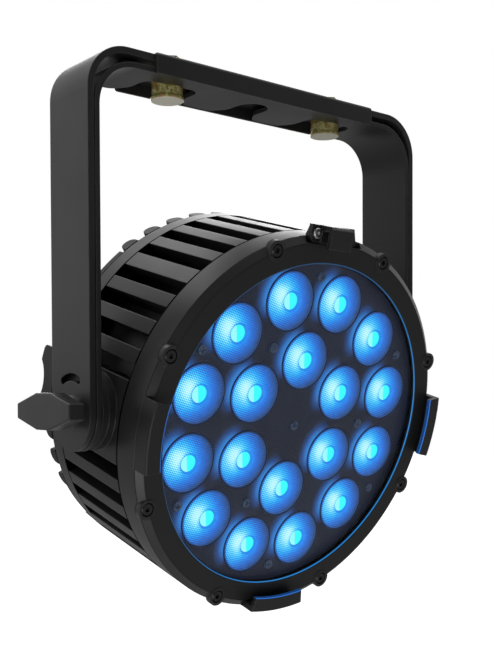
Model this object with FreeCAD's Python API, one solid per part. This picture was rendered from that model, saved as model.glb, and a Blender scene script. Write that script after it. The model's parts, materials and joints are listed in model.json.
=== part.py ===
import FreeCAD, Part

import math
import os

from FreeCAD import Rotation, Vector

# A stage par light: a round head with eighteen lenses that tilts in a double yoke.
# Millimetres and degrees. The origin is the clamp hole in the top face of the yoke,
# +X to the right seen from the front, +Y to the back, +Z up.
#
# The head is drawn in its own frame: X to the right, Y up, Z forward along the light,
# with the tilt axis through its origin. "place_head" turns it into the yoke.
# Angles round the head start at the top and run clockwise seen from the front.

# Head
TILT = 15.36                 # how far the front points below level at rest
HEAD_R = 126.0               # outside radius of the finned body and the rings
OUTER_RING_R = 85.0          # circle of the outer lenses
OUTER_COUNT = 12
OUTER_START = -15.0
INNER_RING_R = 44.0          # circle of the inner lenses
INNER_COUNT = 6
LENS_R = 19.8

# Stations along the light, from the front to the back
CLIP_FRONT = 60.0
CLIP_INNER = 57.0
BEZEL_FRONT = 51.0
BEZEL_BACK = 47.0
GLASS_FRONT = 48.6
GLASS_BACK = 44.6
LENS_FACE = 42.2
PLATE_BACK = 39.2
BOARD_FRONT = 29.6
BODY_FRONT = 28.0
BODY_BACK = -42.0
BAND_BACK = -56.0
FLANGE_BACK = -59.0
PANEL_BACK = -60.0
LAND_BACK = -61.0
FINGER_BACK = -65.0
GUARD_BACK = -76.0

# Finned body
SLOT_PITCH = 8.75
SLOT_WIDTH = 10.2
TOP_SLOTS = 5                # slots each side of the top and of the bottom
TOP_FIRST = SLOT_PITCH / 2
SIDE_SLOTS = 4               # slots above and below each side pad
SIDE_FIRST = 14.4
CORE_R = 104.0
NECK_R = 97.0
CAVITY_R = 95.0
PLATE_THICK = 12.0
BAR_DEPTH = 8.0
WEB_THICK = 3.2

# Fingers that stand back from the rear cover, in line with the slots, and its two guards
FINGER_HALF = 5.5
FINGER_IN_R = 100.0
FINGER_OUT_R = 125.4
GUARD_HALF = 11.0            # half the angle of the raised guard beside each pivot
SCOOP_R = 16.5
SCOOP_DEPTH = 7.0
GUARD_SCREW_R = 117.0
GUARD_SCREW_SEAT = -64.0       # where the heads of the guards' screws rest

# Front ring, bezel and glass
RING_IN_R = 113.0
BEZEL_IN_R = 108.2
BEZEL_FACE_R = 121.6
GLASS_R = 111.2
BOSS_R = 6.4
BEZEL_SCREW_R = 122.1
BEZEL_SCREWS = 8
CLIP_HALF_ANGLE = 10.1
CLIP_LIP_R = 116.0
CLIP_WALL_R = 122.0
LATCH_PIVOT = (-17.0, 126.2)
RIM_FLAT = 119.9             # height of the flat on the bezel rim below the latch
LATCH_TOP = 131.5

# Tilt joint
BOSS_FACE = 130.6            # outer faces of the pivot bosses
BOSS_RADIUS = 24.0
STUD_R = 5.0
STUD_HOLE_R = 5.08

# Yoke
YOKE_HALF = 142.8
STRAP_HALF = 22.4
OUTER_PLATE = 4.0
INNER_PLATE = 3.2
INNER_HALF = 138.0           # outer faces of the inner bracket's legs
CROSSBAR_TOP = 216.7         # above the tilt axis
INNER_TOP = 208.7
OUTER_BEND = 28.0
INNER_BEND = 29.0
LEG_DROP = 2.3               # centre of the rounded leg end below the tilt axis
CAP_THICK = 1.5
CAP_HALF = 95.0
CAP_DROP = 205.3             # lower edge of the cap's side flanges
CLAMP_R = 6.5
CAP_BOLT_X = 70.6
CAP_BOLT_R = 6.0
CAP_BOLT_HEAD_R = 10.0
NOTCH_HALF = 11.6
SIDE_NOTCH_HALF = 21.0
SIDE_NOTCH_DEPTH = 8.0
FLARE_Y = 11.0               # where the notches start to widen towards the strap's edge

# Knobs
KNOB_TIP = 162.0
KNOB_WING = 151.6
KNOB_FOOT = 144.8
KNOB_HALF = 31.8
WASHER_THICK = 1.6

PIVOT_DROP = CROSSBAR_TOP + CAP_THICK
CLEAR = 0.3


# ---------------------------------------------------------------- helpers

def save(name, shape):
    shape.exportStep("parts/" + name + ".step")


def place_yoke(shape):
    moved = shape.copy()
    moved.translate(Vector(0, 0, -PIVOT_DROP))
    return moved


def place_head(shape):
    turned = shape.copy()
    turned.rotate(Vector(0, 0, 0), Vector(1, 0, 0), 90 + TILT)
    return place_yoke(turned)


def polar(radius, angle):
    turn = math.radians(angle)
    return radius * math.sin(turn), radius * math.cos(turn)


def disc(radius, back, front, centre=(0.0, 0.0)):
    return Part.makeCylinder(radius, front - back, Vector(centre[0], centre[1], back))


def ring(inner, outer, back, front, centre=(0.0, 0.0)):
    return disc(outer, back, front, centre).cut(disc(inner, back, front, centre))


def block(x, y, z):
    return Part.makeBox(x[1] - x[0], y[1] - y[0], z[1] - z[0], Vector(x[0], y[0], z[0]))


def rounded_block(x, y, z, corner):
    # A plate with rounded corners, its thickness along Z.
    shape = block(x, y, z)
    upright = [e for e in shape.Edges if abs(e.tangentAt(0).z) > 0.99]
    return shape.makeFillet(corner, upright)


def rod(radius, start, end, y=0.0, z=0.0):
    # A round bar along X.
    return Part.makeCylinder(radius, end - start, Vector(start, y, z), Vector(1, 0, 0))


def prism(points, back, front):
    # An outline in X and Y, drawn forward along Z.
    corners = [Vector(x, y, back) for x, y in points]
    face = Part.Face(Part.makePolygon(corners + corners[:1]))
    return face.extrude(Vector(0, 0, front - back))


def hexagon(across_flats, back, front, centre=(0.0, 0.0)):
    corner = across_flats / math.sqrt(3)
    points = [polar(corner, 60 * i) for i in range(6)]
    return prism([(x + centre[0], y + centre[1]) for x, y in points], back, front)


def turned(profile):
    # Revolves a closed outline of (radius, station) points about the light's axis.
    corners = [Vector(r, 0, z) for r, z in profile]
    face = Part.Face(Part.makePolygon(corners + corners[:1]))
    return face.revolve(Vector(0, 0, 0), Vector(0, 0, 1), 360)


def sector(inner, outer, back, front, middle, half):
    # Part of a ring between two radial faces.
    def point(radius, angle):
        x, y = polar(radius, angle)
        return Vector(x, y, back)
    low = middle - half
    high = middle + half
    edges = [
        Part.Arc(point(outer, low), point(outer, middle), point(outer, high)).toShape(),
        Part.makeLine(point(outer, high), point(inner, high)),
        Part.Arc(point(inner, high), point(inner, middle), point(inner, low)).toShape(),
        Part.makeLine(point(inner, low), point(outer, low)),
    ]
    return Part.Face(Part.Wire(edges)).extrude(Vector(0, 0, front - back))


def spun(shape, angle):
    # A copy turned clockwise about the light's axis, seen from the front.
    copy = shape.copy()
    copy.rotate(Vector(0, 0, 0), Vector(0, 0, 1), -angle)
    return copy


def moved(shape, x=0.0, y=0.0, z=0.0):
    copy = shape.copy()
    copy.translate(Vector(x, y, z))
    return copy


def mirrored(shape):
    # The same piece on the other side, across X = 0.
    return shape.mirror(Vector(0, 0, 0), Vector(1, 0, 0))


def joined(first, others):
    return first.fuse(others).removeSplitter()


def lens_places():
    outer = [polar(OUTER_RING_R, OUTER_START + 360 / OUTER_COUNT * i) for i in range(OUTER_COUNT)]
    inner = [polar(INNER_RING_R, 360 / INNER_COUNT * i) for i in range(INNER_COUNT)]
    return outer, inner


def bezel_screw_angles():
    step = 360 / BEZEL_SCREWS
    return [step / 2 + step * i for i in range(BEZEL_SCREWS)]


def ring_screw_places():
    return [polar(101, 22.5 + 45 * i) for i in range(8)]


def slot_angles():
    angles = []
    for i in range(TOP_SLOTS):
        offset = TOP_FIRST + SLOT_PITCH * i
        angles += [offset, -offset, 180 - offset, 180 + offset]
    for i in range(SIDE_SLOTS):
        offset = SIDE_FIRST + SLOT_PITCH * i
        angles += [90 - offset, 90 + offset, 270 - offset, 270 + offset]
    return sorted(angle % 360 for angle in angles)


def bar_angles():
    # Middles of the bars between neighbouring slots, without the two side pads.
    slots = slot_angles()
    bars = []
    for first, second in zip(slots, slots[1:] + [slots[0] + 360]):
        if second - first < 2 * SIDE_FIRST - 1:
            bars.append((first + second) / 2)
    return bars


# ---------------------------------------------------------------- head body

def heat_sink():
    # One casting: hollow core, front plate, webs, and the bars that they carry outside.
    core = turned([
        (0, BODY_FRONT), (CORE_R, BODY_FRONT), (CORE_R, 24), (NECK_R, 21), (NECK_R, 11),
        (CORE_R, 8), (CORE_R, BODY_BACK), (CAVITY_R, BODY_BACK), (CAVITY_R, BODY_FRONT - PLATE_THICK),
        (0, BODY_FRONT - PLATE_THICK),
    ])
    cage = ring(HEAD_R - BAR_DEPTH, HEAD_R, BODY_BACK, BODY_FRONT)
    slot = block((-SLOT_WIDTH / 2, SLOT_WIDTH / 2), (HEAD_R - 2 * BAR_DEPTH, HEAD_R + 1),
                 (BODY_BACK - 1, BODY_FRONT + 1))
    cage = cage.cut([spun(slot, angle) for angle in slot_angles()])
    web = block((-WEB_THICK / 2, WEB_THICK / 2), (NECK_R - 1, HEAD_R - BAR_DEPTH / 2),
                (BODY_BACK, BODY_FRONT))
    webs = [spun(web, angle) for angle in bar_angles()]
    pads = []
    for middle in (90, 270):
        pads.append(sector(NECK_R - 0.5, HEAD_R - 1, BODY_BACK, BODY_FRONT, middle, 11.0))
    bosses = [rod(BOSS_RADIUS, 110, BOSS_FACE), rod(BOSS_RADIUS, -BOSS_FACE, -110)]
    body = joined(core, [cage] + webs + pads + bosses)
    body = body.cut([rod(STUD_R, 108, 140), rod(STUD_R, -140, -108)])
    tapped = [disc(1.65, BODY_FRONT - 9, BODY_FRONT, place) for place in ring_screw_places()]
    return body.cut(tapped)


def clip(middle):
    # A hook that stands over the bezel and holds the rim of an accessory frame.
    wall = sector(CLIP_WALL_R, HEAD_R, BEZEL_BACK, CLIP_FRONT, middle, CLIP_HALF_ANGLE)
    lip = sector(CLIP_LIP_R, CLIP_WALL_R + 1, CLIP_INNER, CLIP_FRONT, middle, CLIP_HALF_ANGLE)
    hook = joined(wall, [lip])
    front = [e for e in hook.Edges
             if all(abs(v.Z - CLIP_FRONT) + abs(math.hypot(v.X, v.Y) - HEAD_R) < 0.01
                    for v in e.Vertexes)]
    return hook.makeFillet(1.2, front)


def accessory_clips():
    return Part.makeCompound([clip(middle) for middle in (90, 180, 270)])


def front_ring():
    wall = ring(RING_IN_R, HEAD_R, BODY_FRONT, BEZEL_BACK)
    foot = ring(98.0, RING_IN_R + 1, BODY_FRONT, 31.0)
    shelf = ring(110.3, RING_IN_R + 1, 40.0, 43.5)
    latch_pad = prism([(-23.5, 118), (-18.5, LATCH_TOP), (18.5, LATCH_TOP), (23.5, 118)],
                      BEZEL_BACK - 2, BEZEL_BACK)
    shape = joined(wall, [foot, shelf, latch_pad])
    tapped = [disc(2.05, 34, BEZEL_BACK, polar(BEZEL_SCREW_R, a)) for a in bezel_screw_angles()]
    tapped.append(disc(1.9, BEZEL_BACK - 3, BEZEL_BACK + 1, LATCH_PIVOT))
    tapped += [disc(2.2, 27, 32, place) for place in ring_screw_places()]
    return shape.cut(tapped)


def ring_screws():
    # Eight screws, behind the lenses, hold the front ring on the finned body.
    screws = []
    for place in ring_screw_places():
        head = disc(3.6, 31.0, 33.6, place).cut(hexagon(3.0, 32.0, 33.6, place))
        screws.append(joined(head, [disc(1.6, 20, 31.5, place)]))
    return Part.makeCompound(screws)


def bezel():
    shape = turned([
        (BEZEL_IN_R, GLASS_FRONT), (BEZEL_IN_R, 50.2), (BEZEL_IN_R + 0.9, BEZEL_FRONT),
        (BEZEL_FACE_R, BEZEL_FRONT), (HEAD_R, BEZEL_BACK + 0.6), (HEAD_R, BEZEL_BACK),
        (GLASS_R + 0.2, BEZEL_BACK), (GLASS_R + 0.2, GLASS_FRONT),
    ])
    places = [polar(BEZEL_SCREW_R, angle) for angle in bezel_screw_angles()]
    shape = joined(shape, [disc(BOSS_R, BEZEL_BACK, BEZEL_FRONT + 0.4, place) for place in places])
    cuts = [disc(4.4, BEZEL_FRONT - 2.4, BEZEL_FRONT + 1, place) for place in places]
    cuts += [disc(2.2, BEZEL_BACK - 1, BEZEL_FRONT, place) for place in places]
    for middle in (90, 180, 270):
        cuts.append(sector(CLIP_WALL_R - 0.2, HEAD_R + 4, BEZEL_BACK - 1, BEZEL_FRONT + 1,
                           middle, CLIP_HALF_ANGLE + 0.15))
    cuts.append(block((-24, 24), (RIM_FLAT, HEAD_R + 4), (BEZEL_BACK - 1, BEZEL_FRONT + 1)))
    return shape.cut(cuts)


def bezel_screws():
    screws = []
    for angle in bezel_screw_angles():
        place = polar(BEZEL_SCREW_R, angle)
        head = disc(4.0, BEZEL_FRONT - 2.4, BEZEL_FRONT + 0.2, place)
        head = head.makeChamfer(0.5, [e for e in head.Edges if e.CenterOfMass.z > BEZEL_FRONT])
        head = head.cut(hexagon(3.0, BEZEL_FRONT - 1.4, BEZEL_FRONT + 1, place))
        screws.append(joined(head, [disc(2.0, 36, BEZEL_FRONT - 2, place)]))
    return Part.makeCompound(screws)


def glass_gasket():
    return turned([
        (109.0, 43.5), (RING_IN_R, 43.5), (RING_IN_R, BEZEL_BACK),
        (GLASS_R, BEZEL_BACK), (GLASS_R, GLASS_BACK), (109.0, GLASS_BACK),
    ])


def front_glass():
    return disc(GLASS_R, GLASS_BACK, GLASS_FRONT)


def plate_screw_places():
    return ([(0.0, 0.0)] + [polar(60, 90 + 120 * i) for i in range(3)]
            + [polar(99, 60 * i) for i in range(6)])


def lens_plate():
    outer, inner = lens_places()
    holes = [disc(LENS_R + 0.1, PLATE_BACK - 1, LENS_FACE + 1, place) for place in outer + inner]
    holes += [disc(1.8, PLATE_BACK - 1, LENS_FACE + 1, place) for place in plate_screw_places()]
    return disc(110, PLATE_BACK, LENS_FACE).cut(holes)


def plate_screws():
    screws = []
    for place in plate_screw_places():
        x, y = place
        head = disc(3.1, LENS_FACE, LENS_FACE + 1.4, place)
        cross = [block((x - 2, x + 2), (y - 0.4, y + 0.4), (LENS_FACE + 0.5, LENS_FACE + 2)),
                 block((x - 0.4, x + 0.4), (y - 2, y + 2), (LENS_FACE + 0.5, LENS_FACE + 2))]
        screws.append(joined(head.cut(cross), [disc(1.5, 31.0, LENS_FACE + 0.4, place)]))
    return Part.makeCompound(screws)


def lens(place):
    # A solid collimating lens: wide face to the front, small well over the emitter.
    shape = turned([
        (0, 33.2), (2.8, 33.2), (3.4, 30.6), (6.0, 30.6), (11.0, 33.0), (15.6, 36.0),
        (LENS_R - 1.2, PLATE_BACK - 0.4), (LENS_R - 1.2, PLATE_BACK), (LENS_R, PLATE_BACK),
        (LENS_R, LENS_FACE + 0.2), (LENS_R - 0.8, LENS_FACE + 0.6), (6.8, LENS_FACE + 0.8),
        (6.2, LENS_FACE - 0.8), (0, LENS_FACE - 1.4),
    ])
    return moved(shape, place[0], place[1])


def lens_row(places):
    return Part.makeCompound([lens(place) for place in places])


def led_board():
    outer, inner = lens_places()
    holes = [disc(1.6, 27, 31, place) for place in plate_screw_places()[1:4] + [(0.0, 0.0)]]
    return disc(97.0, BODY_FRONT, BOARD_FRONT).cut(holes)


def emitters():
    outer, inner = lens_places()
    return Part.makeCompound([
        block((x - 2.2, x + 2.2), (y - 2.2, y + 2.2), (BOARD_FRONT, BOARD_FRONT + 0.9))
        for x, y in outer + inner
    ])


def guard_screw_places():
    return [(-GUARD_SCREW_R, 0.0), (GUARD_SCREW_R, 0.0)]


def rear_band():
    band = turned([
        (98, BODY_BACK), (HEAD_R, BODY_BACK), (HEAD_R, BAND_BACK + 2),
        (HEAD_R - 2, BAND_BACK), (98, BAND_BACK),
    ])
    return band.cut([disc(1.9, BAND_BACK - 1, BAND_BACK + 9, place) for place in guard_screw_places()])


# ---------------------------------------------------------------- rear cover

WINDOW = ((-23.0, 23.0), (22.0, 44.0))
BUTTON_X = (-27.0, -9.0, 9.0, 27.0)
BUTTON_Y = 6.0
BUTTON_R = 4.6
SOCKET_PLACES = {
    "power_in": (-57.0, -32.0), "power_out": (-20.0, -44.0),
    "data_in": (20.0, -44.0), "data_out": (57.0, -32.0),
}
SOCKET_R = 12.0
VENT_PLACE = (62.0, 30.0)
EYE_PLACE = (-62.0, 30.0)
REAR_SCREW_R = 90.0


def finger(tip):
    # A radial bar with a half-round end, drawn at the top of the head.
    centre = tip + FINGER_HALF
    bar = block((-FINGER_HALF, FINGER_HALF), (FINGER_IN_R, FINGER_OUT_R), (tip, BAND_BACK))
    end = Part.makeCylinder(FINGER_HALF, FINGER_OUT_R - FINGER_IN_R, Vector(0, FINGER_IN_R, centre),
                            Vector(0, 1, 0))
    straight = block((-FINGER_HALF, FINGER_HALF), (FINGER_IN_R, FINGER_OUT_R), (centre, BAND_BACK))
    return bar.common(joined(straight, [end]))


def side_guard(middle):
    # A raised pad with a hollow in its rear edge, seated over the flange of the rear cover.
    pad = sector(FINGER_IN_R + 8, FINGER_OUT_R, GUARD_BACK, BAND_BACK, 0, GUARD_HALF)
    ends = [e for e in pad.Edges if abs(e.CenterOfMass.z - GUARD_BACK) < 0.01
            and abs(abs(e.CenterOfMass.x) - abs(polar(1, GUARD_HALF)[0]) * math.hypot(
                e.CenterOfMass.x, e.CenterOfMass.y)) < 0.01]
    pad = pad.makeFillet(3.0, ends)
    scoop = Part.makeCylinder(SCOOP_R, 60, Vector(0, 80, GUARD_BACK + SCOOP_DEPTH - SCOOP_R), Vector(0, 1, 0))
    seat = disc(HEAD_R - 2, FLANGE_BACK, BAND_BACK)
    place = (0.0, GUARD_SCREW_R)
    recess = disc(4.2, GUARD_BACK, GUARD_SCREW_SEAT, place)
    return spun(pad.cut([scoop, seat, recess, disc(2.2, GUARD_SCREW_SEAT, BAND_BACK, place)]), middle)


def side_guards():
    return Part.makeCompound([side_guard(middle) for middle in (90, 270)])


def guard_screws():
    screws = []
    for place in guard_screw_places():
        head = disc(3.6, GUARD_SCREW_SEAT - 3.6, GUARD_SCREW_SEAT, place)
        head = head.cut(hexagon(3.0, GUARD_SCREW_SEAT - 4, GUARD_SCREW_SEAT - 1.6, place))
        screws.append(joined(head, [disc(1.8, GUARD_SCREW_SEAT - 0.5, BAND_BACK + 8, place)]))
    return Part.makeCompound(screws)


def finger_angles():
    # In line with the slots, but not the last one beside each plain land.
    last = SIDE_FIRST + SLOT_PITCH * (SIDE_SLOTS - 1)
    skipped = [(side + sign * last) % 360 for side in (90, 270) for sign in (-1, 1)]
    return [angle for angle in slot_angles() if all(abs(angle - s) > 0.1 for s in skipped)]


def rear_screw_places():
    return [polar(REAR_SCREW_R, 22.5 + 45 * i) for i in range(8)]


def rear_cover():
    dish = turned([
        (0, PANEL_BACK), (104, PANEL_BACK), (106, FLANGE_BACK), (HEAD_R - 2, FLANGE_BACK),
        (HEAD_R - 2, BAND_BACK), (0, BAND_BACK),
    ])
    fingers = [spun(finger(FINGER_BACK), angle) for angle in finger_angles()]
    lands = [sector(FINGER_IN_R, HEAD_R - 1, LAND_BACK, BAND_BACK, middle, 6.75)
             for middle in (49.75, 130.25, 229.75, 310.25)]
    cover = joined(dish, fingers + lands)
    inside, outside = BAND_BACK + 1, PANEL_BACK - 1
    cuts = [block(WINDOW[0], WINDOW[1], (outside, inside))]
    cuts += [disc(BUTTON_R + CLEAR, outside, inside, (x, BUTTON_Y)) for x in BUTTON_X]
    cuts += [disc(SOCKET_R, outside, inside, place) for place in SOCKET_PLACES.values()]
    cuts.append(disc(5.0, outside, inside, VENT_PLACE))
    cuts += [disc(2.2, outside, inside, place) for place in rear_screw_places() + guard_screw_places()]
    cuts.append(ring(105, 108, BAND_BACK - 1.2, inside))
    return cover.cut(cuts)


def rear_gasket():
    return ring(105, 108, BAND_BACK - 1.2, BAND_BACK)


def rear_posts():
    # Eight threaded pillars that stand inside the core and take the cover's screws.
    return Part.makeCompound([
        ring(1.9, 4.6, BAND_BACK, BODY_FRONT - PLATE_THICK, place) for place in rear_screw_places()
    ])


def rear_screws():
    screws = []
    for place in rear_screw_places():
        head = disc(4.0, PANEL_BACK - 2.6, PANEL_BACK, place)
        head = head.cut(hexagon(3.0, PANEL_BACK - 3, PANEL_BACK - 1.2, place))
        screws.append(joined(head, [disc(1.8, PANEL_BACK - 0.5, -38, place)]))
    return Part.makeCompound(screws)


def display_window():
    (x0, x1), (y0, y1) = WINDOW
    return block((x0, x1), (y0, y1), (PANEL_BACK + 0.4, PANEL_BACK + 2.4))


def display_module():
    screen = block((-21, 21), (24, 42), (PANEL_BACK + 2.6, PANEL_BACK + 7))
    board = block((-36, 36), (-2, 46), (PANEL_BACK + 7, PANEL_BACK + 8.6))
    switches = [disc(2.0, PANEL_BACK + 6.4, PANEL_BACK + 7, (x, BUTTON_Y)) for x in BUTTON_X]
    return joined(board, [screen] + switches)


def menu_button(x):
    # A domed button with a collar behind the panel that keeps it in.
    place = (x, BUTTON_Y)
    cap = disc(BUTTON_R, PANEL_BACK - 2.4, BAND_BACK + 1.1, place)
    rim = [e for e in cap.Edges if e.CenterOfMass.z < PANEL_BACK - 2]
    cap = cap.makeFillet(1.0, rim)
    return joined(cap, [disc(BUTTON_R + 1.4, BAND_BACK + CLEAR, BAND_BACK + 1.1, place)])


def socket(place, pins):
    # A round panel socket: threaded collar outside, contact block at the bottom of its well.
    body = disc(SOCKET_R, PANEL_BACK - 12, PANEL_BACK + 20, place)
    flange = disc(SOCKET_R + 3, PANEL_BACK - 2.4, PANEL_BACK, place)
    well = disc(SOCKET_R - 2.4, PANEL_BACK - 13, PANEL_BACK + 8, place)
    shape = joined(body, [flange]).cut(well)
    contacts = []
    for i in range(pins):
        x, y = polar(5.2, 360 / pins * i + 36)
        contacts.append(disc(1.1, PANEL_BACK - 6, PANEL_BACK + 10, (place[0] + x, place[1] + y)))
    return joined(shape, contacts)


def socket_cap(place):
    # A screwed sealing cap with finger grooves, over the socket's collar.
    outside = disc(SOCKET_R + 3, PANEL_BACK - 15.6, PANEL_BACK - 2.7, place)
    inside = disc(SOCKET_R + CLEAR, PANEL_BACK - 12.4, PANEL_BACK - 2, place)
    grooves = []
    for i in range(12):
        x, y = polar(SOCKET_R + 4.3, 30 * i)
        grooves.append(disc(2.0, PANEL_BACK - 16, PANEL_BACK - 5, (place[0] + x, place[1] + y)))
    return outside.cut([inside] + grooves)


def vent_plug():
    hat = hexagon(13, PANEL_BACK - 3.6, PANEL_BACK, VENT_PLACE)
    return joined(hat, [disc(5.0, PANEL_BACK - 1, PANEL_BACK + 9, VENT_PLACE)])


def safety_eye():
    # A bent plate with a round hole for a safety cable, its hole across the head.
    x, y = EYE_PLACE
    foot = rounded_block((x - 9, x + 9), (y - 13, y + 13), (PANEL_BACK - 3, PANEL_BACK), 3)
    ear = block((x - 2, x + 2), (y - 9, y + 9), (PANEL_BACK - 12, PANEL_BACK - 1))
    tip = rod(9, x - 2, x + 2, y, PANEL_BACK - 12)
    hole = rod(6.0, x - 4, x + 4, y, PANEL_BACK - 12)
    return joined(foot, [ear, tip]).cut(hole)


def eye_screws():
    x, y = EYE_PLACE
    screws = []
    for side in (-1, 1):
        place = (x + 6.0 * side, y)
        screws.append(disc(2.4, PANEL_BACK - 4.6, PANEL_BACK - 3, place))
    return Part.makeCompound(screws)


def power_supply():
    case = rounded_block((-62, 62), (-34, 34), (-26, 12), 3)
    feet = [block((sx * 66 - 6, sx * 66 + 6), (sy * 22 - 6, sy * 22 + 6), (12, 16))
            for sx in (-1, 1) for sy in (-1, 1)]
    plate = block((-72, 72), (-34, 34), (12, 14))
    return joined(case, feet + [plate])


def driver_board():
    board = block((-60, 60), (-30, 40), (-33, -31.4))
    chips = [block((x - 7, x + 7), (y - 7, y + 7), (-35.4, -33)) for x in (-40, 0, 40) for y in (-12, 22)]
    posts = [disc(2.5, -31.4, -26, (x, y)) for x in (-52, 52) for y in (-26, 30)]
    return joined(board, chips + posts)


# ---------------------------------------------------------------- latch

def latch():
    # An arm that turns on one screw; its hook closes the top of the accessory slot.
    left, right = LATCH_PIVOT[0] - 4.2, LATCH_PIVOT[0] + 4.0
    low = RIM_FLAT + 0.4
    back = BEZEL_BACK + CLEAR
    tab = block((left, right + 0.1), (low, LATCH_TOP), (back, 50.2))
    corner = [e for e in tab.Edges if abs(e.tangentAt(0).z) > 0.99
              and e.CenterOfMass.x < left + 0.1 and e.CenterOfMass.y < low + 0.1]
    tab = tab.makeFillet(4.0, corner)
    section = [(low, back), (LATCH_TOP, back), (LATCH_TOP, CLIP_FRONT - 1.6), (LATCH_TOP - 1.6, CLIP_FRONT),
               (117.6, CLIP_FRONT), (117.6, CLIP_INNER), (128.0, CLIP_INNER), (128.0, BEZEL_FRONT + 0.2),
               (low, BEZEL_FRONT + 0.2)]
    corners = [Vector(right, y, z) for y, z in section]
    hook = Part.Face(Part.makePolygon(corners + corners[:1])).extrude(Vector(18.5, 0, 0))
    return joined(tab, [hook]).cut(disc(1.92, 46, 52, LATCH_PIVOT))


def latch_screw():
    head = disc(3.3, 50.5, 52.3, LATCH_PIVOT)
    head = head.makeFillet(0.9, [e for e in head.Edges if e.CenterOfMass.z > 52])
    head = head.cut(hexagon(2.2, 51.2, 53, LATCH_PIVOT))
    return joined(head, [disc(1.85, BEZEL_BACK - 1.8, 51, LATCH_PIVOT)])


# ---------------------------------------------------------------- tilt joint

def pivot_stud():
    # Screwed into the head; the knob runs on its outer end.
    return rod(STUD_R, 110, 158)


def friction_washer():
    outside = rod(BOSS_RADIUS, BOSS_FACE + CLEAR, INNER_HALF - INNER_PLATE)
    return outside.cut(rod(STUD_HOLE_R, 120, 140))


def knob_washer():
    return rod(9.4, YOKE_HALF, YOKE_HALF + WASHER_THICK).cut(rod(STUD_HOLE_R, 140, 150))


def knob_insert():
    return rod(8.0, KNOB_FOOT, 158.5).cut(rod(STUD_R + 0.06, 140, 160))


def knob():
    # A winged clamping knob: long eight-sided wing on a round foot.
    half, tip, mid, top = KNOB_HALF, 4.6, 8.0, 11.0
    outline = [(-half, -tip), (-mid, -top), (mid, -top), (half, -tip),
               (half, tip), (mid, top), (-mid, top), (-half, tip)]
    corners = [Vector(KNOB_WING, y, z) for y, z in outline]
    wing = Part.Face(Part.makePolygon(corners + corners[:1])).extrude(Vector(KNOB_TIP - KNOB_WING, 0, 0))
    wing = wing.makeFillet(1.0, wing.Edges)
    foot = Part.makeCone(9.4, 10.6, KNOB_WING + 1 - KNOB_FOOT, Vector(KNOB_FOOT, 0, 0), Vector(1, 0, 0))
    return joined(wing, [foot]).cut(rod(8.0, 140, 158.5))


# ---------------------------------------------------------------- yoke

def strap(half, top, plate, bend):
    # A strap bent into an upside-down U, with rounded leg ends.
    def outline(inset):
        reach = half - inset
        crown = top - inset
        curve = bend - inset
        foot = -60.0
        diagonal = curve * (1 - math.sqrt(0.5))
        edges = [
            Part.makeLine(Vector(-reach, 0, foot), Vector(-reach, 0, crown - curve)),
            Part.Arc(Vector(-reach, 0, crown - curve), Vector(-reach + diagonal, 0, crown - diagonal),
                     Vector(-reach + curve, 0, crown)).toShape(),
            Part.makeLine(Vector(-reach + curve, 0, crown), Vector(reach - curve, 0, crown)),
            Part.Arc(Vector(reach - curve, 0, crown), Vector(reach - diagonal, 0, crown - diagonal),
                     Vector(reach, 0, crown - curve)).toShape(),
            Part.makeLine(Vector(reach, 0, crown - curve), Vector(reach, 0, foot)),
            Part.makeLine(Vector(reach, 0, foot), Vector(-reach, 0, foot)),
        ]
        face = Part.Face(Part.Wire(edges))
        face.translate(Vector(0, -STRAP_HALF, 0))
        return face.extrude(Vector(0, 2 * STRAP_HALF, 0))
    shell = outline(0).cut(outline(plate))
    reach = half + 1
    keep = block((-reach, reach), (-STRAP_HALF, STRAP_HALF), (-LEG_DROP, top + 1))
    ends = rod(STRAP_HALF, -reach, reach, 0, -LEG_DROP)
    bracket = shell.common(joined(keep, [ends]))
    return bracket.cut(rod(STUD_HOLE_R, -reach, reach))


def upright(radius, low, high, x=0.0):
    return Part.makeCylinder(radius, high - low, Vector(x, 0, low))


def leg_slot():
    # A curved slot above the pivot, through both legs.
    half = 27.0
    shape = sector(18.1, 22.7, -160, 160, 0, half)
    ends = [disc(2.3, -160, 160, polar(20.4, side * half)) for side in (-1, 1)]
    shape = joined(shape, ends)
    shape.Placement = FreeCAD.Placement(Vector(0, 0, 0), Rotation(Vector(1, 1, 1), 120))
    return shape


def yoke_bracket():
    bracket = strap(YOKE_HALF, CROSSBAR_TOP, OUTER_PLATE, OUTER_BEND)
    low = CROSSBAR_TOP - 10
    cuts = [leg_slot(), upright(CLAMP_R, low, CROSSBAR_TOP + 1)]
    cuts += [upright(CAP_BOLT_R, low, CROSSBAR_TOP + 1, side * CAP_BOLT_X) for side in (-1, 1)]
    return bracket.cut(cuts)


def notch(middle, half, depth, corner):
    # A round-ended notch that opens with a flare at the strap's back edge.
    low, high = INNER_TOP - 6, INNER_TOP + 2
    body = rounded_block((middle - half, middle + half), (-depth, 2 * STRAP_HALF), (low, high), corner)
    flare = prism([(middle - half, FLARE_Y), (middle - half - 8, STRAP_HALF + 1),
                   (middle + half + 8, STRAP_HALF + 1), (middle + half, FLARE_Y)], low, high)
    return joined(body, [flare])


def inner_bracket():
    bracket = strap(INNER_HALF, INNER_TOP, INNER_PLATE, INNER_BEND)
    cuts = [notch(0, NOTCH_HALF, NOTCH_HALF, NOTCH_HALF - 0.1)]
    for x in (-CAP_BOLT_X, CAP_BOLT_X):
        cuts.append(notch(x, SIDE_NOTCH_HALF, SIDE_NOTCH_DEPTH, 8.0))
        cuts.append(upright(CAP_BOLT_HEAD_R + CLEAR, INNER_TOP - 6, INNER_TOP + 2, x))
    bracket = bracket.cut(cuts)
    for y, radius in ((FLARE_Y, 12.0), (STRAP_HALF, 9.0)):
        corners = [e for e in bracket.Edges
                   if e.Length < INNER_PLATE + 0.1 and abs(e.tangentAt(0).z) > 0.99
                   and abs(e.CenterOfMass.y - y) < 0.1]
        bracket = bracket.makeFillet(radius, corners)
    return bracket


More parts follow.
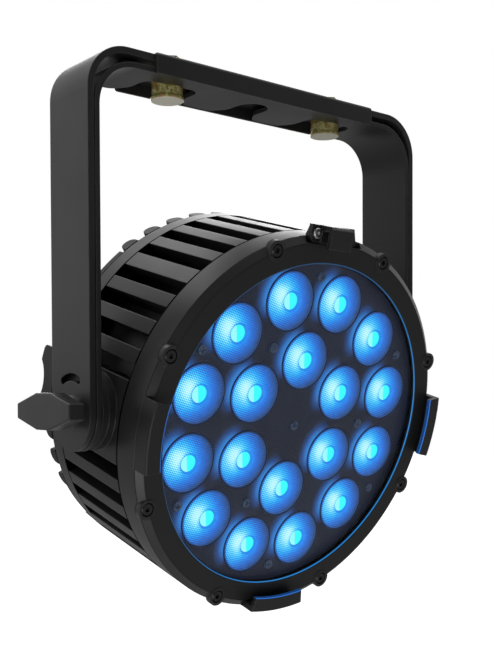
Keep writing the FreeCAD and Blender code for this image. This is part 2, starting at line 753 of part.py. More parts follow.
def yoke_cap():
    # A channel over the crossbar that ties both brackets together.
    side = STRAP_HALF + CLEAR + CAP_THICK
    channel = block((-CAP_HALF, CAP_HALF), (-side, side), (CAP_DROP, CROSSBAR_TOP + CAP_THICK))
    top = [e for e in channel.Edges if e.CenterOfMass.z > CROSSBAR_TOP + CAP_THICK - 0.1]
    channel = channel.makeFillet(2.4, [e for e in top if abs(e.tangentAt(0).x) > 0.9])
    ends = block((-CAP_HALF, CAP_HALF), (-side, side), (CAP_DROP, CROSSBAR_TOP + CAP_THICK))
    channel = channel.common(ends.makeFillet(1.8, [e for e in ends.Edges if abs(e.tangentAt(0).y) > 0.9]))
    inside = block((-CAP_HALF - 1, CAP_HALF + 1), (CAP_THICK - side, side - CAP_THICK),
                   (CAP_DROP - 1, CROSSBAR_TOP))
    holes = [upright(CLAMP_R, CAP_DROP, CROSSBAR_TOP + 5)]
    holes += [upright(CAP_BOLT_R, CAP_DROP, CROSSBAR_TOP + 5, s * CAP_BOLT_X) for s in (-1, 1)]
    return channel.cut([inside] + holes)


def cap_bolts():
    # Round-headed bolts, heads below, that clamp the cap to the outer bracket.
    bolts = []
    foot = 197.5
    for side in (-1, 1):
        x = side * CAP_BOLT_X
        head = upright(CAP_BOLT_HEAD_R, foot + 1, CROSSBAR_TOP - OUTER_PLATE, x)
        flange = upright(10.8, foot, foot + 2.6, x)
        flange = flange.makeFillet(0.9, [e for e in flange.Edges if len(e.Vertexes) == 1])
        shank = upright(CAP_BOLT_R, foot + 2, CROSSBAR_TOP + CAP_THICK + 6, x)
        bolts.append(joined(head, [flange, shank]))
    return Part.makeCompound(bolts)


def cap_nuts():
    nuts = []
    low = CROSSBAR_TOP + CAP_THICK
    for side in (-1, 1):
        centre = (side * CAP_BOLT_X, 0.0)
        washer = disc(11.5, low, low + 1.4, centre)
        nut = joined(hexagon(18.0, low + 1.4, low + 6, centre), [washer])
        nuts.append(nut.cut(disc(CAP_BOLT_R, low - 1, low + 8, centre)))
    return Part.makeCompound(nuts)


# ---------------------------------------------------------------- export

def main():
    os.makedirs("parts", exist_ok=True)
    outer, inner = lens_places()
    yoke = {
        "yoke_bracket": yoke_bracket(), "inner_yoke_bracket": inner_bracket(),
        "yoke_cap": yoke_cap(), "cap_bolts": cap_bolts(), "cap_nuts": cap_nuts(),
    }
    for name, build in (("friction_washer", friction_washer), ("knob_washer", knob_washer),
                        ("knob_insert", knob_insert), ("knob", knob)):
        yoke[name + "_right"] = build()
        yoke[name + "_left"] = mirrored(build())
    sides = {"pivot_stud_right": pivot_stud(), "pivot_stud_left": mirrored(pivot_stud())}
    head = {
        "heat_sink": heat_sink(), "front_ring": front_ring(), "ring_screws": ring_screws(),
        "accessory_clips": accessory_clips(),
        "bezel": bezel(), "bezel_screws": bezel_screws(), "glass_gasket": glass_gasket(),
        "front_glass": front_glass(), "lens_plate": lens_plate(), "plate_screws": plate_screws(),
        "outer_lenses": lens_row(outer), "inner_lenses": lens_row(inner),
        "led_board": led_board(), "led_emitters": emitters(), "rear_band": rear_band(),
        "rear_cover": rear_cover(), "rear_gasket": rear_gasket(), "rear_posts": rear_posts(),
        "rear_screws": rear_screws(), "display_window": display_window(),
        "display_module": display_module(), "vent_plug": vent_plug(), "safety_eye": safety_eye(),
        "eye_screws": eye_screws(), "side_guards": side_guards(), "guard_screws": guard_screws(),
        "power_supply": power_supply(), "driver_board": driver_board(),
        "latch": latch(), "latch_screw": latch_screw(),
    }
    for number, x in enumerate(BUTTON_X, start=1):
        head["menu_button_%d" % number] = menu_button(x)
    for name, place in SOCKET_PLACES.items():
        head[name + "_socket"] = socket(place, 3 if name.startswith("power") else 5)
        head[name + "_cap"] = socket_cap(place)
    for name, shape in {**yoke, **sides}.items():
        save(name, place_yoke(shape))
    for name, shape in head.items():
        save(name, place_head(shape))


main()
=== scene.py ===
import json
import math

import bmesh
import bpy
from mathutils import Matrix, Vector


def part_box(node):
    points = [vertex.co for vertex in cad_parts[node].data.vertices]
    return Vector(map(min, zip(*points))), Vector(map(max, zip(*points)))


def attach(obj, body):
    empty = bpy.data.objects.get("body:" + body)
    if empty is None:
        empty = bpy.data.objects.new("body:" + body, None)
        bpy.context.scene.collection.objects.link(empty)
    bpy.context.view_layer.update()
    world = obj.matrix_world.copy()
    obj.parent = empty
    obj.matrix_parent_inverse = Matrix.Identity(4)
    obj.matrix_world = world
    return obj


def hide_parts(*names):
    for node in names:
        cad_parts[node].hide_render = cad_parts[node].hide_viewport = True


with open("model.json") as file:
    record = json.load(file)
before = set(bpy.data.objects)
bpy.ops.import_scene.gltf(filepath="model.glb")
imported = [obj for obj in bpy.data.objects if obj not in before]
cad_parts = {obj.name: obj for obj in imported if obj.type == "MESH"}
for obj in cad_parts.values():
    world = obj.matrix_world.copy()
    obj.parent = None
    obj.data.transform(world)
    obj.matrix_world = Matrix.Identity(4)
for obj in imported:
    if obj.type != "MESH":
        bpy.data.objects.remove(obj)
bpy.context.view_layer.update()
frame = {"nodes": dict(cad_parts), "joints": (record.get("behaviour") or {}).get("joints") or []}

MM = 0.001

# The head's frame, in millimetres: X to the right, Y up, Z forward along the light,
# with the tilt axis through its origin.
DIP = 15.36                  # degrees that the front points below level at rest
PIVOT = Vector([j for j in frame["joints"] if j["name"] == "head_tilt"][0]["pos_m"])
HEAD = Matrix.Translation(PIVOT) @ Matrix.Rotation(math.radians(90 + DIP), 4, "X")

# Depths and radii in that frame
CLIP_FRONT = 60.0
CLIP_INNER = 57.0
CLIP_LIP_R = 116.0
BEZEL_FRONT = 51.0
BEZEL_BACK = 47.0
BEZEL_FACE_R = 121.6
BEZEL_IN_R = 108.2
BODY_FRONT = 28.0
CORE_FRONT = 8.0             # where the core narrows to its neck
CORE_R = 104.0
BODY_BACK = -42.0
BAND_BACK = -56.0
LENS_R = 19.8
LENS_FACE = 42.2
OUTER = [(85.0, -15 + 30 * i) for i in range(12)]
INNER = [(44.0, 60 * i) for i in range(6)]

# The lens's own profile: a flat dimple in a low dome, with a bead round it
DOME_IN_R = 7.3
DOME_OUT_R = 18.5
DOME_TOP = 1.15
DOME_DROP = 0.75
LENS_SEGMENTS = 96

# The view, in metres: a camera in front and to the left, about level with the pivot
CAMERA_FROM_PIVOT = (-0.4360, -0.5143, 0.0137)
CAMERA_RIGHT = (0.77125788, -0.63650996, -0.00404432)
CAMERA_UP = (0.01822363, 0.01572949, 0.9997102)
CAMERA_BACK = (-0.63626188, -0.77110807, 0.02373101)

# The studio, in metres
SKY_TOWARDS = (0.32, 0.62, 0.72)     # the bright side of the sky: up, behind and to the right
FLOOR_DROP = 1.3                     # below the row's origin
FLOOR_REACH = 12                     # from the middle to each edge


def polar(radius, degrees):
    """Across and up, for an angle from the top, clockwise seen from the front."""
    turn = math.radians(degrees)
    return radius * math.sin(turn), radius * math.cos(turn)


# ------------------------------------------------------------------ node graphs

class Value:
    """A number or socket that can be written in formulas."""

    def __init__(self, graph, item):
        self.graph = graph
        self.item = item

    def op(self, name, *others):
        return self.graph.math(name, self, *others)

    def __add__(self, other):
        return self.op("ADD", other)

    def __sub__(self, other):
        return self.op("SUBTRACT", other)

    def __rsub__(self, other):
        return self.graph.math("SUBTRACT", other, self)

    def __mul__(self, other):
        return self.op("MULTIPLY", other)

    def __truediv__(self, other):
        return self.op("DIVIDE", other)

    __radd__ = __add__

    def at_least(self, other):
        return self.op("MAXIMUM", other)

    def power(self, other):
        return self.op("POWER", other)

    def sine(self):
        return self.op("SINE")

    def step(self, low, high, out_low=0.0, out_high=1.0):
        """Smoothly from out_low at low to out_high at high."""
        node = self.graph.node("ShaderNodeMapRange")
        node.interpolation_type = "SMOOTHSTEP"
        self.graph.join(self, node.inputs["Value"])
        for socket, value in (("From Min", low), ("From Max", high),
                              ("To Min", out_low), ("To Max", out_high)):
            self.graph.join(value, node.inputs[socket])
        return Value(self.graph, node.outputs["Result"])


class Graph:
    """A material's node tree round one Principled shader."""

    def __init__(self, name):
        self.material = bpy.data.materials.new(name)
        self.material.use_nodes = True
        self.tree = self.material.node_tree
        self.tree.nodes.clear()
        self.shader = self.node("ShaderNodeBsdfPrincipled")
        output = self.node("ShaderNodeOutputMaterial")
        self.tree.links.new(self.shader.outputs["BSDF"], output.inputs["Surface"])
        self.coordinates = self.node("ShaderNodeTexCoord").outputs["Object"]

    def node(self, kind):
        return self.tree.nodes.new(kind)

    def join(self, value, socket):
        if isinstance(value, Value):
            value = value.item
        if isinstance(value, bpy.types.NodeSocket):
            self.tree.links.new(value, socket)
        else:
            socket.default_value = value

    def set(self, **values):
        for name, value in values.items():
            self.join(value, self.shader.inputs[name.replace("_", " ")])

    def fed(self, name):
        """What is linked to a socket of the shader so far."""
        return Value(self, self.shader.inputs[name].links[0].from_socket)

    def math(self, operation, *values):
        node = self.node("ShaderNodeMath")
        node.operation = operation
        for value, socket in zip(values, node.inputs):
            self.join(value, socket)
        return Value(self, node.outputs[0])

    def vector(self, operation, *values):
        node = self.node("ShaderNodeVectorMath")
        node.operation = operation
        for value, socket in zip(values, node.inputs):
            self.join(value, socket)
        name = "Value" if operation in ("LENGTH", "DOT_PRODUCT", "DISTANCE") else "Vector"
        return Value(self, node.outputs[name])

    def place(self, matrix=None, scale=(1, 1, 1)):
        """Millimetre coordinates, in the row frame or in the frame that matrix gives."""
        node = self.node("ShaderNodeMapping")
        node.vector_type = "TEXTURE"
        if matrix is not None:
            node.inputs["Location"].default_value = matrix.to_translation()
            node.inputs["Rotation"].default_value = matrix.to_euler()
        node.inputs["Scale"].default_value = [MM * s for s in scale]
        self.join(self.coordinates, node.inputs["Vector"])
        return Value(self, node.outputs["Vector"])

    def parts(self, vector):
        node = self.node("ShaderNodeSeparateXYZ")
        self.join(vector, node.inputs[0])
        return [Value(self, socket) for socket in node.outputs]

    def noise(self, vector, size, detail=3.0, roughness=0.5, distortion=0.0):
        """Noise from 0 to 1 whose features are about size long."""
        node = self.node("ShaderNodeTexNoise")
        self.join(vector, node.inputs["Vector"])
        node.inputs["Scale"].default_value = 1.0 / size
        node.inputs["Detail"].default_value = detail
        node.inputs["Roughness"].default_value = roughness
        node.inputs["Distortion"].default_value = distortion
        return Value(self, node.outputs["Fac"])

    def ramp(self, value, *stops):
        node = self.node("ShaderNodeValToRGB")
        elements = node.color_ramp.elements
        while len(elements) < len(stops):
            elements.new(0.5)
        for element, (position, colour) in zip(elements, stops):
            element.position = position
            element.color = (*colour, 1)
        self.join(value, node.inputs["Fac"])
        return Value(self, node.outputs["Color"])

    def mix(self, factor, first, second):
        node = self.node("ShaderNodeMix")
        node.data_type = "RGBA"
        self.join(factor, node.inputs[0])
        for value, socket in ((first, node.inputs[6]), (second, node.inputs[7])):
            self.join((*value, 1) if isinstance(value, tuple) else value, socket)
        return Value(self, node.outputs[2])

    def bump(self, height, depth, round_edges=0.0):
        """Relief of depth mm at height 1, over edges rounded to round_edges mm."""
        node = self.node("ShaderNodeBump")
        node.inputs["Strength"].default_value = 1.0
        node.inputs["Distance"].default_value = depth * MM
        self.join(height, node.inputs["Height"])
        if round_edges:
            bevel = self.node("ShaderNodeBevel")
            bevel.samples = 4
            bevel.inputs["Radius"].default_value = round_edges * MM
            self.join(bevel.outputs["Normal"], node.inputs["Normal"])
        self.join(node.outputs["Normal"], self.shader.inputs["Normal"])

    def edges(self, radius):
        """From 0 on flat faces to 1 along sharp edges."""
        bevel = self.node("ShaderNodeBevel")
        bevel.samples = 4
        bevel.inputs["Radius"].default_value = radius * MM
        true = self.node("ShaderNodeNewGeometry")
        dot = self.vector("DOT_PRODUCT", bevel.outputs["Normal"], true.outputs["Normal"])
        return (1.0 - dot).step(0.02, 0.3)


def strongest(masks):
    """The largest of several masks, point by point."""
    top = masks[0]
    for mask in masks[1:]:
        top = top.at_least(mask)
    return top


def linear(*rgb):
    """Linear colour from 0-255 display values."""
    return tuple(((c / 255 + 0.055) / 1.055) ** 2.4 if c > 10 else c / 255 / 12.92 for c in rgb)


# ------------------------------------------------------------------ materials

def powder_coat(name, colour, matrix=None, rough=0.45, grain=1.1, relief=0.02, edge_wear_and_highlight_amount=0.5, seams=()):
    """Powder coat: orange peel, faint cloudiness, edges painted lighter as worn paint and as a painted
    highlight, and dark joints at the seams' depths.

    It gives the graph, so that a caller can add to it.
    """
    g = Graph(name)
    p = g.place(matrix)
    cloud = g.noise(p, 60, 4)
    fine = g.noise(p, grain, 2, 0.6)
    # Edges painted lighter: partly worn paint, partly a painted highlight along the edges.
    edge_wear_and_highlight = g.edges(1.1) * (g.noise(p, 9, 4, 0.65).step(0.42, 0.62) * 0.5 + 0.5) * edge_wear_and_highlight_amount
    dark = tuple(c * 0.82 for c in colour)
    light = tuple(c * 1.22 + 0.001 for c in colour)
    base = g.mix(cloud * 0.7 + fine * 0.3, dark, light)
    base = g.mix(edge_wear_and_highlight, base, tuple(c * 4 + 0.04 for c in colour))
    if seams:
        depth = g.parts(p)[2]
        joint = strongest([1.0 - (depth - seam).op("ABSOLUTE").step(0.5, 0.9) for seam in seams])
        base = g.mix(joint, base, (0.002, 0.002, 0.002))
        g.set(Specular_IOR_Level=0.5 - joint * 0.5)
    g.set(Base_Color=base, Roughness=cloud.step(0.3, 0.7, rough - 0.04, rough + 0.05) - edge_wear_and_highlight * 0.12)
    g.set(IOR=1.48)
    g.bump(fine * 0.7 + g.noise(p, grain * 0.35, 2) * 0.3, relief, 0.9)
    return g


def steel(name, colour, rough, matrix=None):
    """Bare or blackened metal: fine lines drawn out along Y, and faint spots."""
    g = Graph(name)
    p = g.place(matrix, (1, 6, 1))
    lines = g.noise(p, 0.5, 4, 0.7)
    spots = g.noise(g.place(matrix), 7, 4)
    dark = tuple(c * 0.75 for c in colour)
    light = tuple(min(c * 1.2, 1) for c in colour)
    base = g.mix(spots * 0.6 + lines * 0.4, dark, light)
    g.set(Base_Color=base, Metallic=1.0, Roughness=lines.step(0.2, 0.8, rough - 0.07, rough + 0.1))
    g.bump(lines, 0.01, 0.25)
    return g.material


def plastic(name, colour, rough, matrix=None):
    """Moulded plastic or rubber: fine grain, faint cloudiness, and edges painted lighter as worn spots and as
    a painted highlight.
    """
    g = Graph(name)
    p = g.place(matrix)
    fine = g.noise(p, 0.8, 3, 0.6)
    cloud = g.noise(p, 30, 3)
    # Edges painted lighter: partly worn spots, partly a painted highlight along the edges.
    edge_wear_and_highlight = g.edges(0.9) * (g.noise(p, 6, 3).step(0.4, 0.7) * 0.5 + 0.4)
    base = g.mix(cloud, tuple(c * 0.85 for c in colour), tuple(c * 1.2 for c in colour))
    base = g.mix(edge_wear_and_highlight, base, tuple(c * 3 + 0.06 for c in colour))
    g.set(Base_Color=base, Roughness=cloud.step(0.3, 0.7, rough - 0.05, rough + 0.05))
    g.bump(fine, 0.012, 0.4)
    return g.material


def glow_line(g, mask, colour, strength):
    """A painted line of light where mask is 1, for the blue light that an edge catches."""
    g.set(Emission_Color=(*colour, 1), Emission_Strength=mask * strength)


def yoke_material():
    return powder_coat("yoke_powder_coat", linear(42, 42, 43), rough=0.42, edge_wear_and_highlight_amount=0.6).material


def housing_material():
    """The castings' coat, with painted light on the core between the bars and painted shade behind the band.
    """
    g = powder_coat("housing_powder_coat", linear(33, 33, 34), HEAD, rough=0.36, edge_wear_and_highlight_amount=0.8,
                    seams=(BODY_FRONT, BODY_BACK, BAND_BACK))
    x, y, w = g.parts(g.place(HEAD))
    r = (x * x + y * y).power(0.5)
    # Painted light: the core between the bars is painted lighter, as where light reaches it.
    core = (1.0 - r.step(CORE_R + 1, CORE_R + 2)) * (1.0 - w.step(CORE_FRONT - 1, CORE_FRONT))
    # Painted shade: everything behind the band is painted darker.
    rear = 1.0 - w.step(BAND_BACK - 1, BAND_BACK - 0.4)
    base = g.mix(core * (1.0 - rear), g.fed("Base Color"), linear(88, 88, 89))
    g.set(Base_Color=g.mix(rear * 0.55, base, linear(12, 12, 13)), Roughness=g.fed("Roughness") + rear * 0.18)
    return g.material


def clip_material():
    g = powder_coat("clip_powder_coat", linear(30, 30, 31), HEAD, rough=0.42, edge_wear_and_highlight_amount=0.7)
    x, y, w = g.parts(g.place(HEAD))
    r = (x * x + y * y).power(0.5)
    # Painted blue light: a glowing line on the clip's lip, where the lenses' light would fall.
    lip = (1.0 - r.step(CLIP_LIP_R + 0.1, CLIP_LIP_R + 0.5)) * w.step(CLIP_INNER - 0.2, CLIP_INNER + 0.2)
    line = (w.step(CLIP_FRONT - 0.8, CLIP_FRONT - 0.4) * 0.7 + 0.22) * lip
    glow_line(g, line, linear(40, 130, 240), 0.8)
    return g.material


def bezel_material():
    """The bezel's coat: a chamfer painted lighter as a painted highlight, outside a dark groove, and painted
    blue light on the inner lip.
    """
    g = powder_coat("bezel_powder_coat", linear(31, 31, 32), HEAD, rough=0.52, grain=0.8,
                    relief=0.016, edge_wear_and_highlight_amount=0.35, seams=(BEZEL_BACK,))
    x, y, w = g.parts(g.place(HEAD))
    r = (x * x + y * y).power(0.5)
    # Painted highlight: the chamfer is painted lighter, as the side that catches more light.
    chamfer = r.step(BEZEL_FACE_R, BEZEL_FACE_R + 0.5)
    groove = (r.step(BEZEL_FACE_R - 0.9, BEZEL_FACE_R - 0.6)
              * (1.0 - r.step(BEZEL_FACE_R - 0.3, BEZEL_FACE_R)))
    base = g.mix(chamfer, g.fed("Base Color"), linear(47, 47, 48))
    g.set(Base_Color=g.mix(groove * 0.8, base, (0.003, 0.003, 0.003)), Roughness=0.54 - chamfer * 0.16)
    # Painted blue light on the inner lip, strongest toward the lower right.
    side = ((x * 0.75 - y * 0.66) / r).step(-0.55, 0.9, 0.3, 1.0)
    lip = ((1.0 - r.step(BEZEL_IN_R + 0.2, BEZEL_IN_R + 0.7))
           * w.step(BEZEL_FRONT - 1.1, BEZEL_FRONT - 0.6) * side)
    glow_line(g, lip, linear(30, 150, 240), 0.9)
    return g.material


def zinc_material():
    """Yellow passivated zinc: gold with green and pink bands and dark blotches; the lowest end painted pale
    as a painted highlight.
    """
    g = Graph("yellow_zinc_plate")
    p = g.place()
    z = g.parts(p)[2]
    wander = g.noise(p, 5, 3, 0.6)
    film = (wander * 1.5 + z * 0.06).op("FRACT")
    base = g.ramp(film, (0.0, linear(160, 140, 72)), (0.22, linear(214, 184, 112)),
                  (0.42, linear(226, 172, 132)), (0.6, linear(160, 166, 88)),
                  (0.8, linear(240, 230, 160)), (1.0, linear(160, 140, 72)))
    blotch = g.noise(p, 3.2, 5, 0.7, 0.8).step(0.56, 0.66)
    base = g.mix(blotch * 0.6, base, linear(52, 46, 30))
    # Painted highlight: the bolts' lowest end is painted pale and less metallic, as where the underside is
    # lit.
    above_painted_end = (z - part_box("cap_bolts")[0].z / MM).step(0.0, 0.5)
    base = g.mix(above_painted_end, linear(240, 236, 216), base)
    g.set(Base_Color=base, Metallic=above_painted_end * 0.3, Roughness=(wander * 0.2 + 0.16) + (1.0 - above_painted_end) * 0.3)
    g.bump(wander * 0.6 + blotch * 0.4, 0.05, 0.4)
    return g.material


def lens_colour(g, tone):
    """Blue light from its dimmest, at tone 0, to its brightest, at 1."""
    return g.ramp(tone, (0.0, linear(38, 50, 78)), (0.12, linear(45, 75, 125)), (0.22, linear(45, 93, 173)),
                  (0.36, linear(44, 113, 220)), (0.5, linear(44, 148, 248)), (0.62, linear(44, 190, 255)),
                  (0.72, linear(58, 213, 255)), (0.84, linear(130, 236, 255)), (1.0, linear(200, 252, 255)))


def lens_material():
    """Moulded lens over a blue emitter: micro-lens grid, bright on one side, clear dimple."""
    g = Graph("lens_lit_blue")
    p = g.place()
    x, y = g.parts(p)[:2]
    r = (x * x + y * y).power(0.5)
    lit = ((y * 0.259 - x * 0.966) / r.at_least(0.1) + 1.0) * 0.5
    tone = 0.44 - (r - 7.5) * 0.034 + lit.power(2.1) * r.step(6.0, 9.5, 0.3, 0.56)
    grid = ((x * 0.86 + y * 0.5) * 3.4).sine() * ((y * 0.86 - x * 0.5) * 3.4).sine()
    glint = 1.0 - g.vector("DISTANCE", p, (-10.0, 4.5, 0.8)).step(0.5, 8.0)
    tone = tone + glint * 0.2 + grid * (lit * 0.24 + 0.08) + (g.noise(p, 4.5, 4, 0.65) - 0.5) * 0.16
    tone = tone * r.step(17.4, 19.0, 1.0, 0.35)
    teeth = (g.math("ARCTAN2", y, x) * 72.0).sine() * 0.3
    rim = (r + teeth).step(18.8, 19.0)
    dimple = 1.0 - r.step(6.6, 6.9)
    half = (x + y * 0.28 + 0.4 + g.noise(p, 9, 2) * 1.2).step(-0.1, 0.5)
    core = g.mix(half, linear(156, 254, 255), linear(58, 254, 255))
    ring = r.step(5.3, 5.6)
    core = g.mix(ring, core, linear(36, 138, 240))
    colour = g.mix(dimple, lens_colour(g, tone), core)
    colour = g.mix(rim * 0.92, colour, linear(14, 20, 40))
    g.set(Base_Color=(0.002, 0.008, 0.02, 1), Roughness=0.3, Emission_Color=colour, Emission_Strength=1.0)
    g.shader.inputs["Specular IOR Level"].default_value = 0.25
    g.bump(grid * 0.5 + 0.5, 0.02)
    return g.material


def plate_material():
    """Dark moulded plate with painted light: a faint blue glow all over, and light spilling from the left
    edge of each lens.
    """
    g = Graph("lens_plate_plastic")
    p = g.place(HEAD)
    x, y = g.parts(p)[:2]
    flat = g.node("ShaderNodeCombineXYZ")
    g.join(x, flat.inputs[0])
    g.join(y, flat.inputs[1])
    flat = Value(g, flat.outputs[0])
    spills = []
    grooves = []
    for radius, turn in OUTER + INNER:
        centre = polar(radius, turn)
        away = g.vector("SUBTRACT", flat, (*centre, 0))
        distance = g.vector("LENGTH", away)
        ahead = g.vector("DOT_PRODUCT", away, (-0.94, 0.34, 0)) / distance
        spills.append(ahead.step(0.45, 1.0) * (1.0 - distance.step(LENS_R - 1, LENS_R + 12)).power(1.4))
        grooves.append(1.0 - distance.step(LENS_R, LENS_R + 0.4))
    spill = strongest(spills)
    groove = strongest(grooves)
    fine = g.noise(p, 0.7, 3, 0.6)
    cloud = g.noise(p, 40, 3)
    base = g.mix(cloud * 0.7 + fine * 0.3, linear(38, 40, 47), linear(47, 50, 59))
    streak = (x * 2.9 + y * 1.7).sine() * (y * 2.9 - x * 1.7).sine() * 0.5 + 0.5
    level = spill * (0.72 + streak * 0.3) * (1.0 - groove * 0.75)
    g.set(Base_Color=g.mix(groove, base, linear(14, 16, 22)), Roughness=fine.step(0.3, 0.7, 0.38, 0.55))
    # Painted light, as emission: the blue spill beside each lens, and a faint glow elsewhere.
    glow = g.ramp(level + cloud * 0.10, (0.0, linear(12, 14, 22)), (0.12, linear(22, 30, 52)),
                  (0.45, linear(30, 70, 132)), (1.0, linear(48, 140, 226)))
    g.set(Emission_Color=glow, Emission_Strength=1.0)
    g.bump(fine, 0.015)
    return g.material


def phillips_material():
    g = Graph("plate_screw_steel")
    p = g.place(HEAD)
    spots = g.noise(p, 3, 4)
    g.set(Base_Color=g.mix(spots, linear(60, 62, 68), linear(140, 144, 150)), Metallic=0.9,
          Roughness=spots.step(0.3, 0.7, 0.25, 0.4))
    # Painted blue light: the screw heads glow faintly blue, as if catching the lenses' light.
    g.set(Emission_Color=(*linear(40, 90, 150), 1), Emission_Strength=0.12)
    g.bump(spots, 0.02, 0.2)
    return g.material


def glass_material():
    """Clear glass, with a low IOR for the weak reflections of a coated pane."""
    g = Graph("front_glass_clear")
    p = g.place(HEAD)
    g.set(Base_Color=(0.97, 0.985, 0.99, 1), IOR=1.2)
    g.set(Roughness=g.noise(p, 50, 3).step(0.5, 0.9, 0.01, 0.05))
    g.shader.inputs["Transmission Weight"].default_value = 1.0
    return g.material


def window_material():
    g = Graph("display_window_smoked")
    p = g.place(HEAD)
    g.set(Base_Color=g.mix(g.noise(p, 12, 3), (0.006, 0.007, 0.009), (0.012, 0.013, 0.016)), Roughness=0.08)
    g.shader.inputs["Coat Weight"].default_value = 0.6
    g.bump(g.noise(p, 15, 2), 0.01)
    return g.material


def board_material():
    g = Graph("circuit_board_green")
    p = g.place(HEAD)
    track = g.noise(p, 3, 1, 0.3).step(0.49, 0.51)
    g.set(Base_Color=g.mix(track, linear(20, 84, 48), linear(36, 110, 62)), Roughness=0.3)
    g.bump(track, 0.03)
    return g.material


def emitter_material():
    g = Graph("emitter_blue")
    p = g.place(HEAD)
    g.set(Base_Color=(0.5, 0.8, 1, 1), Roughness=0.3)
    g.set(Emission_Color=g.mix(g.noise(p, 1.5, 2), linear(90, 220, 255), linear(200, 250, 255)),
          Emission_Strength=2.0)
    return g.material


def paint(material, *names):
    for name in names:
        mesh = frame["nodes"][name].data
        mesh.materials.clear()
        mesh.materials.append(material)


# ------------------------------------------------------------------ lenses

def spun_mesh(name, profile, segments):
    """A profile of (radius, height) in mm, turned about Z; where it meets the axis it closes to a point."""
    mesh = bpy.data.meshes.new(name)
    made = bmesh.new()
    rings = []
    for radius, height in profile:
        if radius < 1e-6:
            rings.append([made.verts.new((0, 0, height * MM))])
            continue
        ring = []
        for i in range(segments):
            turn = 2 * math.pi * i / segments
            x, y = radius * math.cos(turn), radius * math.sin(turn)
            ring.append(made.verts.new((x * MM, y * MM, height * MM)))
        rings.append(ring)
    for low, high in zip(rings, rings[1:]):
        for i in range(segments):
            j = (i + 1) % segments
            corners = [low[i % len(low)], low[j % len(low)], high[j % len(high)], high[i % len(high)]]
            made.faces.new(list(dict.fromkeys(corners)))
    bmesh.ops.recalc_face_normals(made, faces=made.faces)
    made.to_mesh(mesh)
    made.free()
    for face in mesh.polygons:
        face.use_smooth = True
    return mesh


def lens_profile():
    """From the middle of the front out to the bead, and back in along the cone behind."""
    dimple = [(0, 0.1), (5.6, 0.1), (6.0, 0.3), (6.3, 0.95), (6.7, 1.12), (DOME_IN_R, DOME_TOP)]
    dome = [(DOME_IN_R + (DOME_OUT_R - DOME_IN_R) * i / 10, DOME_TOP - DOME_DROP * (i / 10) ** 2)
            for i in range(1, 11)]
    bead = [(18.7, 0.15), (18.9, 0.4), (19.3, 0.55), (19.7, 0.4), (19.75, -0.4), (19.75, -2.6)]
    cone = [(18.4, -3.2), (11, -9), (6, -11.4), (3.4, -11.4), (2.8, -9.0), (0, -9.0)]
    return dimple + dome + bead + cone


def lenses(material):
    mesh = spun_mesh("lens", lens_profile(), LENS_SEGMENTS)
    mesh.materials.append(material)
    for row, places in (("outer", OUTER), ("inner", INNER)):
        for number, (radius, turn) in enumerate(places, start=1):
            x, y = polar(radius, turn)
            piece = bpy.data.objects.new("lens_%s_%02d" % (row, number), mesh)
            bpy.context.collection.objects.link(piece)
            piece.matrix_world = HEAD @ Matrix.Translation((x * MM, y * MM, LENS_FACE * MM))
            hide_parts(row + "_lenses")
            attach(piece, "head")


# ------------------------------------------------------------------ studio

def studio():
    """A sky that lights the object from one side, and that the camera itself sees as white."""
    world = bpy.data.worlds.new("studio")
    bpy.context.scene.world = world
    world.use_nodes = True
    tree = world.node_tree
    tree.nodes.clear()
    output = tree.nodes.new("ShaderNodeOutputWorld")
    mixer = tree.nodes.new("ShaderNodeMixShader")
    seen = tree.nodes.new("ShaderNodeBackground")
    seen.inputs["Color"].default_value = (1, 1, 1, 1)
    seen.inputs["Strength"].default_value = 1.0
    light = tree.nodes.new("ShaderNodeBackground")
    path = tree.nodes.new("ShaderNodeLightPath")
    sky = tree.nodes.new("ShaderNodeTexCoord")
    towards = tree.nodes.new("ShaderNodeVectorMath")
    towards.operation = "DOT_PRODUCT"
    towards.inputs[1].default_value = SKY_TOWARDS
    ramp = tree.nodes.new("ShaderNodeValToRGB")
    ramp.color_ramp.elements[0].position = 0.48
    ramp.color_ramp.elements[0].color = (0.06, 0.06, 0.06, 1)
    ramp.color_ramp.elements[1].position = 0.8
    ramp.color_ramp.elements[1].color = (1.0, 1.0, 1.0, 1)
    remap = tree.nodes.new("ShaderNodeMapRange")
    remap.inputs["From Min"].default_value = -1
    remap.inputs["From Max"].default_value = 1
    tree.links.new(sky.outputs["Generated"], towards.inputs[0])
    tree.links.new(towards.outputs["Value"], remap.inputs["Value"])
    tree.links.new(remap.outputs["Result"], ramp.inputs["Fac"])
    tree.links.new(ramp.outputs["Color"], light.inputs["Color"])
    light.inputs["Strength"].default_value = 0.8
    tree.links.new(path.outputs["Is Camera Ray"], mixer.inputs[0])
    tree.links.new(light.outputs[0], mixer.inputs[1])
    tree.links.new(seen.outputs[0], mixer.inputs[2])
    tree.links.new(mixer.outputs[0], output.inputs["Surface"])


def area_light(name, place, aim, size, power):
    data = bpy.data.lights.new(name, "AREA")
    data.shape = "RECTANGLE"
    data.size, data.size_y = size
    data.energy = power
    lamp = bpy.data.objects.new(name, data)
    bpy.context.collection.objects.link(lamp)
    direction = Vector(aim) - Vector(place)
    lamp.location = place
    lamp.rotation_euler = direction.to_track_quat("-Z", "Y").to_euler()


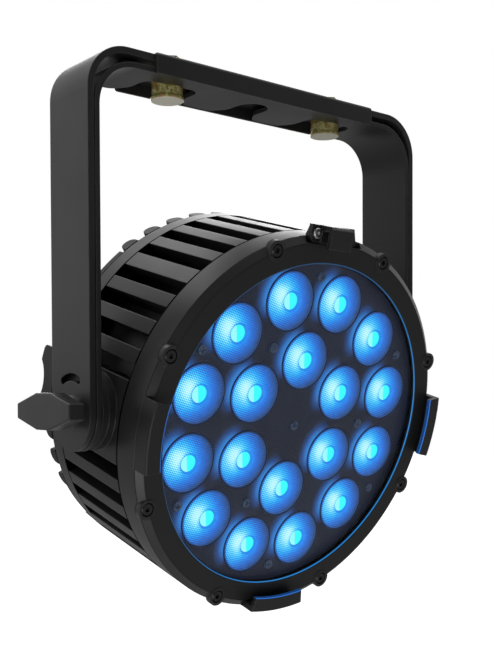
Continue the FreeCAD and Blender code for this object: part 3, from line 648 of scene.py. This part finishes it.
def floor():
    """Pale paper far below the light, lifted to white for the camera alone."""
    mesh = bpy.data.meshes.new("floor")
    made = bmesh.new()
    bmesh.ops.create_grid(made, x_segments=1, y_segments=1, size=FLOOR_REACH)
    made.to_mesh(mesh)
    made.free()
    ground = bpy.data.objects.new("floor", mesh)
    bpy.context.collection.objects.link(ground)
    ground.location = (0, 0, -FLOOR_DROP)
    g = Graph("floor_paper")
    p = g.place()
    g.set(Base_Color=g.mix(g.noise(p, 300, 3), (0.42, 0.42, 0.42), (0.46, 0.46, 0.46)), Roughness=0.9)
    seen = g.node("ShaderNodeLightPath").outputs["Is Camera Ray"]
    g.set(Emission_Color=(1, 1, 1, 1), Emission_Strength=Value(g, seen) * 0.95)
    mesh.materials.append(g.material)


def camera():
    data = bpy.data.cameras.new("camera")
    data.lens = 53.09
    data.sensor_width = 36
    data.shift_x = 0.0117
    data.shift_y = 0.1229
    data.clip_start = 0.02
    data.clip_end = 60
    view = bpy.data.objects.new("camera", data)
    bpy.context.collection.objects.link(view)
    turn = Matrix((CAMERA_RIGHT, CAMERA_UP, CAMERA_BACK)).transposed().to_4x4()
    view.matrix_world = Matrix.Translation(PIVOT + Vector(CAMERA_FROM_PIVOT)) @ turn
    bpy.context.scene.camera = view


# ------------------------------------------------------------------ scene

sides = ("left", "right")
paint(yoke_material(), "yoke_bracket", "inner_yoke_bracket", "yoke_cap")
paint(zinc_material(), "cap_bolts", "cap_nuts")
paint(housing_material(), "heat_sink", "front_ring", "rear_band", "rear_cover", "side_guards", "latch")
paint(clip_material(), "accessory_clips")
paint(bezel_material(), "bezel")
paint(plate_material(), "lens_plate")
paint(phillips_material(), "plate_screws")
paint(glass_material(), "front_glass")
paint(window_material(), "display_window")
paint(board_material(), "led_board", "display_module", "driver_board")
paint(emitter_material(), "led_emitters")
paint(steel("black_screw_steel", linear(70, 70, 72), 0.32, HEAD),
      "bezel_screws", "ring_screws", "rear_screws", "eye_screws", "guard_screws")
paint(steel("bright_screw_steel", linear(200, 200, 198), 0.25, HEAD), "latch_screw", "safety_eye")
paint(steel("bright_yoke_steel", linear(220, 220, 218), 0.28),
      *["knob_washer_" + s for s in sides], *["pivot_stud_" + s for s in sides])
paint(steel("turned_brass", linear(205, 170, 90), 0.3), *["knob_insert_" + s for s in sides])
paint(steel("bare_aluminium", linear(190, 192, 195), 0.4, HEAD), "rear_posts", "power_supply")
paint(plastic("black_rubber", linear(26, 26, 27), 0.6, HEAD), "glass_gasket", "rear_gasket",
      *["friction_washer_" + s for s in sides])
paint(plastic("moulded_nylon", linear(38, 38, 39), 0.36), *["knob_" + s for s in sides])
sockets = ("power_in", "power_out", "data_in", "data_out")
paint(plastic("connector_nylon", linear(34, 34, 35), 0.45, HEAD), "vent_plug",
      *[s + end for s in sockets for end in ("_socket", "_cap")])
paint(plastic("button_silicone", linear(72, 72, 74), 0.6, HEAD), *["menu_button_%d" % i for i in range(1, 5)])
lenses(lens_material())

studio()
area_light("top_softbox", (0.1, 0.5, 1.3), (0, 0, -0.2), (1.4, 1.0), 8)
area_light("left_fill", (-1.6, -0.1, 0.3), (0, 0, -0.2), (0.8, 1.0), 3)
area_light("low_fill", (-0.9, -0.8, -1.0), (0, 0, -0.1), (0.8, 0.8), 5)
area_light("back_rim", (0.9, 1.5, 0.5), (0, 0, -0.2), (1.2, 1.0), 16)
floor()
camera()
bpy.context.scene.view_settings.view_transform = "Standard"
